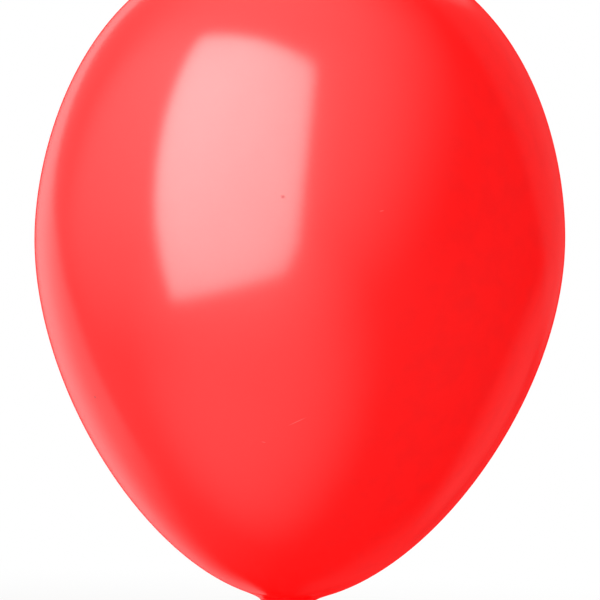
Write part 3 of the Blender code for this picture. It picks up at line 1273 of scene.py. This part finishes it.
@dataclass
class Studio:
    """The camera, the floor, the white surroundings and the lamps."""

    centre: Vector  # the middle of the bulb's widest section
    floor: float  # height
    distance: float = 1.20
    camera_right: float = 0.0012
    camera_drop: float = 0.0323  # below the widest section
    roll: float = 1.979  # degrees
    lens: float = 135.576
    sensor: float = 36.0
    ambient: tuple[float, float] = (1.10, 1.22)  # even light: from the front, and off the paper behind
    shaded_side: Glow = Glow(46.0, -9.0, 0.0, 68.0, 0.44)  # taken off that even light
    lamp_size: float = 1.2
    lamp_distance: float = 1.6
    lamp_azimuth: float = -42.0
    lamp_elevation: float = 34.0
    lamp_level: float = 0.26  # of the light that it adds where it falls square
    background: str = "#FFFFFF"
    floor_colour: str = "#DAD9D7"
    floor_spill: str = "#F6F5F3"  # of the light that it throws up on the balloon
    floor_size: float = 60.0
    floor_fade: tuple[float, float] = (0.45, 1.50)  # from the floor's own colour to plain white
    rear_lift: tuple[float, float] = (-0.32, 2.15)  # how far back the glows start to grow, and to what
    rear_peak: float = 4.6  # how much more they grow close to the very back
    rear_sharpness: float = 6.0
    glows: tuple[Glow, ...] = (  # azimuth, elevation, core, edge and strength
        Glow(-26.0, 42.0, 0.0, 87.0, 1.47),  # light spilt on the ceiling
        Glow(-58.0, 20.0, 51.0, 125.0, 0.60),  # all round the softbox
        Glow(-25.0, -41.0, 0.0, 57.0, 0.98),  # on the table under it
        Glow(-76.0, 14.5, 24.0, 48.0, 0.58),  # a pale wall on the left
        Glow(-180.0, 46.0, 24.5, 28.5, 0.33),  # the backdrop's top
        Glow(148.0, 22.0, 26.0, 32.0, 0.12),  # far back on the right
        Glow(135.0, -19.0, 5.5, 20.0, 0.15),  # and low there
        Glow(153.0, -40.0, 0.0, 21.0, 0.08),
        Glow(168.0, -12.0, 5.0, 21.0, 0.065),
    )

    def build(self) -> None:
        """Sets the studio up."""
        bpy.context.scene.view_settings.view_transform = "Standard"
        self.build_camera()
        self.build_world()
        self.build_floor()
        self.build_lamp()
        Softbox().build(self.centre)
        Backdrop().build(self.centre)

    def build_camera(self) -> None:
        """Puts the camera level in front of the bulb, a little below its middle."""
        data = bpy.data.cameras.new("camera")
        data.sensor_width = self.sensor
        data.lens = self.lens
        camera = put("camera", data)
        camera.location = self.centre + Vector((self.camera_right, -self.distance, -self.camera_drop))
        camera.rotation_euler = (math.radians(90), -math.radians(self.roll), 0.0)
        bpy.context.scene.camera = camera

    def build_world(self) -> None:
        """Makes the surroundings: white to the camera, even light on the balloon, glows in its gloss."""
        world = bpy.data.worlds.new("surroundings")
        bpy.context.scene.world = world
        world.use_nodes = True
        tree = world.node_tree
        tree.nodes.clear()
        rays = add_node(tree, "LightPath").outputs
        look = add_node(tree, "TexCoord").outputs["Generated"]
        depth = add_node(tree, "SeparateXYZ", {"Vector": look}).outputs["Y"]
        glow = self.all_glows(tree, look, depth)
        sheen = add_node(tree, "Math", {0: rays["Is Glossy Ray"], 1: glow}, operation="MULTIPLY")
        front, behind = self.ambient
        round_it = {"Value": depth, "From Min": -1.0, "From Max": 1.0, "To Min": front, "To Max": behind}
        even = add_node(tree, "MapRange", round_it)
        shaded = {0: even, 1: self.shaded_side.patch(tree, look)}
        uneven = add_node(tree, "Math", shaded, operation="SUBTRACT")
        on_skin = {0: rays["Is Diffuse Ray"], 1: uneven}
        shade = add_node(tree, "Math", on_skin, operation="MULTIPLY")
        straight = {0: rays["Is Camera Ray"], 1: rays["Is Transmission Ray"]}
        white = add_node(tree, "Math", straight, operation="ADD")
        lit = add_node(tree, "Math", {0: sheen, 1: shade}, operation="ADD")
        seen = add_node(tree, "Math", {0: lit, 1: white}, operation="ADD")
        colour = {"Color": linear(self.background), "Strength": seen}
        back = add_node(tree, "Background", colour)
        add_node(tree, "OutputWorld", {"Surface": back})

    def all_glows(self, tree: Tree, look: Socket, depth: Socket) -> Node:
        """Adds all the glows together, and makes them brighter towards the back.

        Args:
            tree: the world's tree.
            look: the socket of the direction.
            depth: the socket of how far back that direction points.

        Returns:
            The node that gives their strength.
        """
        gloss, *others = [glow.patch(tree, look) for glow in self.glows]
        for patch in others:
            gloss = add_node(tree, "Math", {0: gloss, 1: patch}, operation="ADD")
        start, slope = self.rear_lift
        rising = {"Value": depth, "From Min": start, "From Max": 1.0, "To Min": 1.0, "To Max": slope}
        steady = add_node(tree, "MapRange", rising)
        beyond = add_node(tree, "Math", {0: depth, 1: 0.0}, operation="MAXIMUM")
        steep = add_node(tree, "Math", {0: beyond, 1: self.rear_sharpness}, operation="POWER")
        both = {0: steep, 1: self.rear_peak, 2: steady}
        lift = add_node(tree, "Math", both, operation="MULTIPLY_ADD")
        return add_node(tree, "Math", {0: gloss, 1: lift}, operation="MULTIPLY")

    def build_floor(self) -> None:
        """Makes the floor: pale where the shadow falls, and plain white to the camera further off."""
        half = self.floor_size / 2
        outline = [(-half, -half, 0.0), (half, -half, 0.0), (half, half, 0.0), (-half, half, 0.0)]
        level = Matrix.Translation(on_axis(self.floor))
        floor, tree, place = lay_sheet("floor", "matt_floor", outline, level)
        floor.visible_glossy = False
        away = add_node(tree, "VectorMath", {0: place}, operation="LENGTH").outputs["Value"]
        near, far = self.floor_fade
        fading = {"Value": away, "From Min": near, "From Max": far}
        faded = add_node(tree, "MapRange", fading, **SMOOTH)
        to_camera = add_node(tree, "LightPath").outputs["Is Camera Ray"]
        share = add_node(tree, "Math", {0: faded, 1: to_camera}, operation="MULTIPLY")
        spill, own = linear(self.floor_spill), linear(self.floor_colour)
        seen = {"Factor": to_camera, COLOUR_A: spill, COLOUR_B: own}
        colour = add_node(tree, "Mix", seen, **COLOURS).outputs[MIXED]
        paint = add_node(tree, "BsdfDiffuse", {"Color": colour})
        white = add_node(tree, "Emission", {"Color": linear(self.background)})
        top = add_node(tree, "MixShader", {0: share, 1: paint, 2: white})
        below = add_node(tree, "NewGeometry").outputs["Backfacing"]
        clear = add_node(tree, "BsdfTransparent")
        one_sided = add_node(tree, "MixShader", {0: below, 1: top, 2: clear})
        add_node(tree, "OutputMaterial", {"Surface": one_sided})

    def build_lamp(self) -> None:
        """Hangs the big soft lamp that gives form and throws the shadow."""
        data = bpy.data.lights.new("key_lamp", "AREA")
        data.shape = "DISK"
        data.size = self.lamp_size
        data.energy = self.lamp_level * (math.pi * self.lamp_distance) ** 2
        lamp = put("key_lamp", data)
        towards = aim(self.lamp_azimuth, self.lamp_elevation)
        lamp.location = self.centre + towards * self.lamp_distance
        lamp.rotation_euler = towards.to_track_quat("Z", "Y").to_euler()
        show(lamp, Rays.SHADE)


# ------------------------------------------------------------------------------------------------
# The scene

FLOOR_GAP = 0.10  # the balloon floats this far over the floor
FOLDS_RISE = 16 * MM  # how far up the bulb's underside the neck's folds reach


def main() -> None:
    """Builds the balloon and its studio."""
    logging.basicConfig(level=logging.INFO, format="%(name)s: %(message)s")
    FRAME.update(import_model())
    cad_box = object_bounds()
    bulb, neck, throat, tail = Bulb(), Neck(), Throat(), Tail()
    gathers = Gathers(top=bulb.low + FOLDS_RISE, fillet=neck.fillet, throat=neck.low)
    studio = Studio(centre=on_axis(bulb.widest), floor=cad_box[0].z - FLOOR_GAP)
    studio.build()
    latex = DippedLatex()
    stretched = latex.blown(bulb.crown, neck.fillet, neck.low, bulb.marks())
    slack = latex.slack()
    bulb.build(gathers, stretched)
    neck.build(bulb, throat, gathers, stretched)
    throat.build(gathers, slack)
    Knot().build(slack)
    tail.build_sleeve(slack)
    tail.build_lip(slack)


if __name__ == "__main__":
    main()
